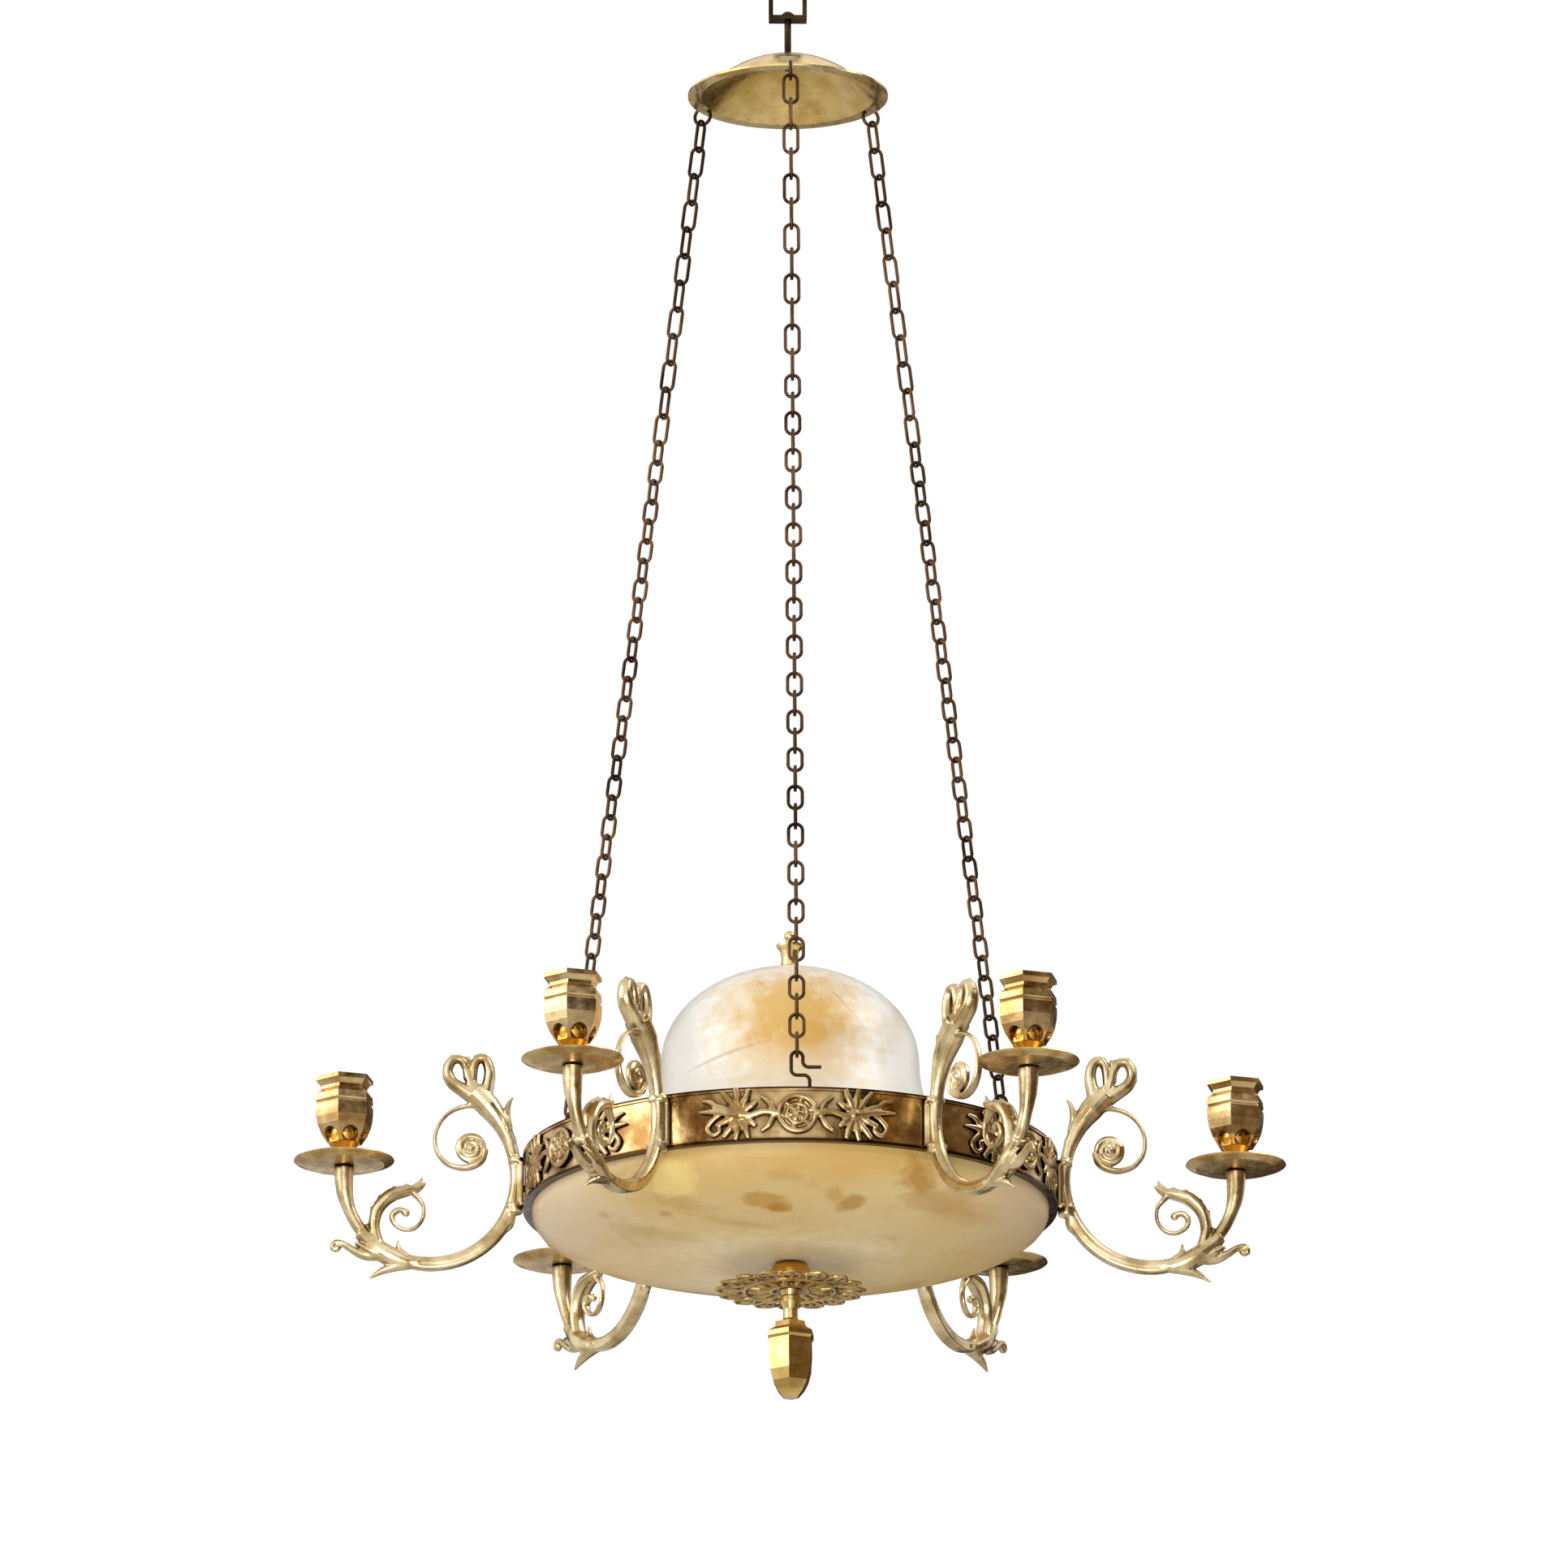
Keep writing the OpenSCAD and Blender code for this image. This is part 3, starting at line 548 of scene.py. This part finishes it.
def add_bump(tree, shader, height, depth, strength=0.5):
    """Fine unevenness of a surface, to a depth in millimetres."""
    node = tree.nodes.new("ShaderNodeBump")
    node.inputs["Strength"].default_value = strength
    node.inputs["Distance"].default_value = depth * MM
    tree.links.new(height, node.inputs["Height"])
    tree.links.new(node.outputs[0], shader.inputs["Normal"])


def oval(tree, place, centre, size, turn=(0, 0, 0), edge=0.4, ragged=0.3):
    """1 inside a given oval and 0 outside, over an uneven edge; centre and size in millimetres."""
    mapping = tree.nodes.new("ShaderNodeMapping")
    mapping.vector_type = "TEXTURE"
    mapping.inputs["Location"].default_value = [v * MM for v in centre]
    mapping.inputs["Rotation"].default_value = [radians(v) for v in turn]
    mapping.inputs["Scale"].default_value = [v * MM for v in size]
    tree.links.new(place, mapping.inputs["Vector"])
    reach = tree.nodes.new("ShaderNodeVectorMath")
    reach.operation = "LENGTH"
    tree.links.new(mapping.outputs[0], reach.inputs[0])
    uneven = span(tree, noise(tree, place, 95, detail=5), 0.3, 0.7, -ragged, ragged)
    distance = combine(tree, "ADD", reach.outputs["Value"], uneven)
    return span(tree, distance, 1 - edge, 1 + edge, 1.0, 0.0)


def metal(name, tones, gloss, hollow_size=4.0, cloud=30, pit=0.15, wave=0.0, tint=None):
    """Aged brass: clouds of two tones, a dark tone painted as shade into hollows and as specks of
    tarnish, and an uneven gloss.
    """
    light, deep, shade_and_tarnish_tone = [linear(*tone) for tone in tones]
    material, tree, shader, place = new_surface(name)
    clouds = span(tree, noise(tree, place, cloud, detail=5), 0.38, 0.62)
    tone = blend_colours(tree, clouds, light, deep)
    if tint:
        tone = tint(tree, place, tone)
    # Painted shade: ambient occlusion darkens hollows and creases a few millimetres deep, where shade
    # falls
    occlusion = tree.nodes.new("ShaderNodeAmbientOcclusion")
    occlusion.samples = 8
    occlusion.inputs["Distance"].default_value = hollow_size * MM
    shade = span(tree, occlusion.outputs["AO"], 0.3, 0.9, 1.0, 0.0)
    specks = span(tree, noise(tree, place, 260, detail=3), 0.58, 0.78, out_high=0.3)
    tone = blend_colours(tree, combine(tree, "MAXIMUM", shade, specks), tone, shade_and_tarnish_tone)
    tree.links.new(tone, shader.inputs["Base Color"])
    shader.inputs["Metallic"].default_value = 1.0
    wear = span(tree, noise(tree, place, 150), 0.3, 0.7, gloss - 0.07, gloss + 0.1)
    tree.links.new(wear, shader.inputs["Roughness"])
    height = noise(tree, place, 380, detail=3)
    if wave:
        swell = combine(tree, "MULTIPLY", noise(tree, place, 45, detail=2), wave)
        height = combine(tree, "ADD", height, swell)
    add_bump(tree, shader, height, pit)
    return material


def stone(name, tones, stain_level, marks):
    """Alabaster: clouds, veins, chance blots and listed marks, with a little light that passes in."""
    body, pale, stain = [linear(*tone) for tone in tones]
    material, tree, shader, place = new_surface(name)
    clouds = span(tree, noise(tree, place, 9, 5, 0.5, (1, 1, 2)), 0.35, 0.65)
    tone = blend_colours(tree, clouds, body, pale)
    veins = span(tree, noise(tree, place, 14, 8, 0.6, (1, 1.4, 3)), 0.56, 0.62, out_high=0.3)
    tone = blend_colours(tree, veins, tone, stain)
    chance = noise(tree, place, 22, 3, 0.45, (1, 1, 1.6))
    blots = span(tree, chance, stain_level, stain_level + 0.05, out_high=0.85)
    tone = blend_colours(tree, blots, tone, stain)
    # Some marks are painted light and shade: pale patches, a bright reflection and darker flanks; the
    # rest are stains and veins
    for centre, size, turn, edge, strength, colour in marks:
        share = combine(tree, "MULTIPLY", oval(tree, place, centre, size, turn, edge), strength)
        tone = blend_colours(tree, share, tone, linear(*colour))
    tree.links.new(tone, shader.inputs["Base Color"])
    shader.inputs["Roughness"].default_value = 0.34
    shader.inputs["Subsurface Weight"].default_value = 0.2
    shader.inputs["Subsurface Radius"].default_value = (1.0, 0.6, 0.3)
    shader.inputs["Subsurface Scale"].default_value = 0.005
    add_bump(tree, shader, noise(tree, place, 160, detail=3), 0.12, strength=0.3)
    return material


def core_tint(i):
    """Colours the turned core of one candle cup a deeper gold than its body."""
    core_middle, core_size = cup_base + 18, (12.7, 12.7, 15)
    turn = radians(branch_turns[i])
    centre = (candle_r * sin(turn), -candle_r * cos(turn), core_middle)

    def tint(tree, place, tone):
        share = oval(tree, place, centre, core_size, edge=0.03, ragged=0.0)
        return blend_colours(tree, share, tone, linear(226, 168, 72))
    return tint


def edge_shadow_tint(tree, place, tone):
    """Paints a dark line of shadow along the band's two edges, as in the gap between band and bowl."""
    split = tree.nodes.new("ShaderNodeSeparateXYZ")
    tree.links.new(place, split.inputs[0])
    z = split.outputs["Z"]
    low_edge = (band_low + 1.8) * MM, (band_low + 2.8) * MM
    top_edge = (band_top - 1.8) * MM, (band_top - 1.0) * MM
    lower = span(tree, z, *low_edge, 1.0, 0.0)
    upper = span(tree, z, *top_edge)
    # Painted shadow: the near-black tone laid along the lower and upper edge of the band
    return blend_colours(tree, combine(tree, "MAXIMUM", lower, upper), tone, linear(66, 42, 22))


# Marks in the stone, mostly stains and veins, some painted light and shade: centre, half lengths, turn,
# softness of the edge, strength and colour
BOWL_MARKS = (
    ((-176, -70, -962), (44, 90, 40), (0, 0, 0), 0.6, 0.7, (222, 202, 176)),
    ((176, -60, -962), (40, 90, 40), (0, 0, 0), 0.6, 0.7, (214, 190, 160)),
    # Painted light: the next two pale patches round the boss lighten the shade that the leaf disc throws
    # on the bowl
    ((0, 0, -988), (96, 96, 14), (0, 0, 0), 0.7, 0.75, (240, 216, 166)),
    ((0, -26, -990), (58, 42, 14), (0, 0, 0), 0.6, 0.9, (255, 238, 196)),
    ((40, -176, -952), (110, 34, 11), (0, 0, 0), 0.7, 0.6, (206, 166, 88)),
    # Painted reflection: a bright yellow patch of light thrown onto the bowl from the metal above
    ((-90, -150, -962), (20, 24, 13), (0, 0, 0), 0.25, 0.75, (244, 216, 136)),
    ((-22, -138, -975), (19, 12, 12), (0, 0, 36), 0.25, 0.8, (194, 142, 32)),
    ((-12, -128, -977), (8, 7, 8), (0, 0, 30), 0.3, 0.7, (176, 122, 20)),
    ((-93, -102, -976), (4, 5, 6), (0, 0, 0), 0.5, 0.5, (150, 116, 66)),
    ((-136, -80, -970), (4, 5, 6), (0, 0, 0), 0.5, 0.4, (150, 116, 66)),
    ((-98, -60, -981), (26, 12, 10), (0, 0, 10), 0.5, 0.5, (192, 154, 78)),
    ((28, -148, -972), (6, 12, 9), (0, 0, -10), 0.35, 0.6, (196, 148, 52)),
    ((40, -134, -975), (9, 14, 10), (0, 0, 30), 0.3, 0.8, (184, 132, 30)),
    ((88, -150, -958), (20, 10, 14), (0, 20, 65), 0.4, 0.8, (180, 124, 28)),
    ((112, -108, -970), (42, 13, 16), (0, 8, 52), 0.7, 0.65, (194, 146, 70)),
    ((-74, -118, -977), (40, 7, 16), (0, 0, 22), 0.6, 0.2, (194, 152, 80)),
    ((-40, -96, -981), (22, 6, 12), (0, 0, 12), 0.5, 0.45, (190, 150, 84)),
    ((-60, 140, -968), (34, 22, 14), (0, 0, 30), 0.4, 0.7, (176, 136, 66)),
    ((120, 100, -960), (12, 40, 14), (0, 0, 20), 0.4, 0.7, (176, 136, 66)),
)
LID_MARKS = (
    ((-2, -86, -820), (47, 62, 44), (0, 0, 0), 0.6, 0.95, (229, 188, 110)),
    ((9, -88, -834), (26, 44, 36), (0, 0, 0), 0.85, 0.8, (218, 171, 84)),
    # Painted shade: the next two strips darken the right and left flanks of the lid towards its outline
    ((77, -44, -812), (7, 34, 34), (0, 20, 0), 0.9, 0.4, (206, 178, 138)),
    ((-80, -44, -818), (7, 34, 32), (0, -20, 0), 0.9, 0.3, (222, 210, 190)),
    ((10, 80, -800), (40, 50, 30), (0, 0, 0), 0.5, 0.7, (240, 212, 152)),
    ((-51, -80, -851), (29, 12, 1.2), (0, -13, -33), 0.6, 0.55, (190, 152, 104)),
    ((-24, -86, -793), (9, 12, 1.1), (0, 50, 0), 0.5, 0.6, (200, 156, 100)),
    ((35, -80, -809), (9, 12, 1.1), (0, 50, 0), 0.5, 0.6, (200, 156, 100)),
    ((-40, -84, -800), (5, 20, 22), (0, -24, 0), 0.6, 0.5, (250, 240, 214)),
    ((0, -90, -872), (60, 60, 16), (0, 0, 0), 0.7, 0.6, (243, 226, 194)),
)
BOWL_TONES = ((218, 182, 110), (226, 200, 142), (178, 134, 62))
LID_TONES = ((252, 248, 238), (254, 252, 246), (232, 208, 160))

# Tones of the metals: the light clouds, the deep clouds, and the dark tone of painted shade in hollows
# and of tarnish specks
GILT = ((236, 216, 172), (182, 156, 110), (58, 40, 18))
RELIEF = ((212, 184, 138), (156, 124, 78), (42, 28, 14))
DISC = ((216, 188, 132), (168, 136, 80), (44, 30, 14))
PAN = ((216, 186, 126), (172, 136, 82), (82, 58, 26))
CUP = ((240, 210, 154), (190, 150, 92), (52, 34, 14))
BRASS = ((246, 220, 160), (212, 172, 100), (84, 54, 20))
GOLD = ((232, 184, 92), (196, 144, 56), (84, 52, 16))
BAND = ((232, 198, 142), (138, 104, 62), (52, 34, 18))
CANOPY = ((246, 218, 154), (204, 168, 92), (84, 60, 26))
CHAIN = ((114, 84, 58), (58, 44, 32), (28, 20, 14))
DARK = ((74, 58, 38), (44, 32, 22), (22, 16, 12))

gilt = metal("matte_gilt", GILT, gloss=0.27, hollow_size=7.0, cloud=44, pit=0.1, wave=3.5)
disc_brass = metal("disc_brass", DISC, gloss=0.3, hollow_size=7.0, cloud=50, pit=0.08, wave=1.0)
pan_brass = metal("pan_brass", PAN, gloss=0.26, hollow_size=5.0, cloud=60, pit=0.08, wave=2.0)
polished = metal("polished_brass", BRASS, gloss=0.2, pit=0.04)
boss_gold = metal("boss_gold", GOLD, gloss=0.22, pit=0.04)
relief_gilt = metal("relief_gilt", RELIEF, gloss=0.27, hollow_size=8.0, cloud=50, pit=0.1, wave=3.0)
cup_brass = {
    i: metal(f"cup_brass_{i}", CUP, gloss=0.22, hollow_size=5.0, cloud=40, pit=0.06, wave=3.0,
             tint=core_tint(i))
    for i in BRANCHES
}
# The band's edges carry painted shadow
band_brass = metal("band_brass", BAND, gloss=0.2, hollow_size=6.0, cloud=34, pit=0.12, wave=12.0,
                   tint=edge_shadow_tint)
canopy_brass = metal("canopy_brass", CANOPY, gloss=0.24, hollow_size=1.5, cloud=22, pit=0.1, wave=9.0)
chain_brass = metal("chain_brass", CHAIN, gloss=0.36, hollow_size=2.0, cloud=16)
dark_metal = metal("dark_metal", DARK, gloss=0.4, hollow_size=3.0)
bowl_stone = stone("bowl_stone", BOWL_TONES, 0.72, BOWL_MARKS)
lid_stone = stone("lid_stone", LID_TONES, 0.75, LID_MARKS)


# The pieces

def coat(node, material):
    """Gives a solid that is kept its finish."""
    slots = nodes[node].data.materials
    slots.clear()
    slots.append(material)


def melted(draw, name, grain, fold=None):
    """Draws a casting in millimetres, melts it into one skin and folds it into its shape."""
    bm = bmesh.new()
    draw(bm)
    bmesh.ops.scale(bm, vec=(MM, MM, MM), verts=bm.verts)
    skin = cast(bm, name, grain)
    bmesh.ops.scale(skin, vec=(1 / MM, 1 / MM, 1 / MM), verts=skin.verts)
    if fold:
        fold(skin)
    return skin


def place_copies(master, names, turns, lift, body, material):
    """Sets one copy of a drawn piece at each turn round the axis, in place of its plain solid."""
    for i, turn in turns.items():
        bm = master.copy()
        spin = Matrix.Rotation(radians(turn), 4, "Z")
        place = Matrix.Scale(MM, 4) @ Matrix.Translation((0, 0, lift)) @ spin
        bmesh.ops.transform(bm, matrix=place, verts=bm.verts)
        piece = finished(bm, f"cast_{names}_{i}", material)
        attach(piece, body)
        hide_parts(f"{names}_{i}")
    master.free()


set_camera()
set_world()
set_lights()
add_floor()
# Dark cards seen only in reflections: painted dark reflections of an unlit room
add_shade_card("right_card", (3.9, -1.2, -0.5), (-1, 0.1, 0), 7, 6, linear(110, 88, 58))
add_shade_card("front_card", (3.5, -5.4, 0.6), (-0.5, 1, 0), 3, 4)
add_shade_card("low_card", (3.1, 5.0, -2.4), (-0.3, -1, 0), 6, 3.4)
add_shade_card("back_card", (0, 5.2, 0.9), (0, -1, -0.1), 9, 4.6)

branch = melted(draw_branch, "branch", 0.8, from_plane)
place_copies(branch, "branch", branch_turns, band_top, "lamp", gilt)
ornament = melted(draw_ornament, "ornament", 0.6, bend_round_band)
band_middle = (band_low + band_top) / 2
place_copies(ornament, "ornament", ornament_turns, band_middle, "lamp", relief_gilt)

disc = melted(draw_leaf_disc, "leaf_disc", 0.7)
disc_top = Matrix.Translation((0, 0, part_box("leaf_disc")[1].z))
bmesh.ops.transform(disc, matrix=disc_top @ Matrix.Scale(MM, 4), verts=disc.verts)
leaf_disc = finished(disc, "cast_leaf_disc", disc_brass)
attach(leaf_disc, "lamp")
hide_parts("leaf_disc")

for i in BRANCHES:
    coat(f"pan_{i}", pan_brass)
    coat(f"cup_{i}", cup_brass[i])
for side in SIDES:
    coat(f"ring_{side}", chain_brass)
    coat(f"chain_{side}", chain_brass)
    coat(f"hook_{side}", dark_metal)
single_coats = {
    "stirrup": dark_metal,
    "stem": dark_metal,
    "stem_nut": pan_brass,
    "canopy": canopy_brass,
    "band": band_brass,
    "branch_screws": pan_brass,
    "tie_rod": pan_brass,
    "lid_finial": polished,
    "lid": lid_stone,
    "bowl": bowl_stone,
    "boss": boss_gold,
    "drop": polished,
}
for node, material in single_coats.items():
    coat(node, material)

bpy.context.scene.view_settings.view_transform = "Standard"
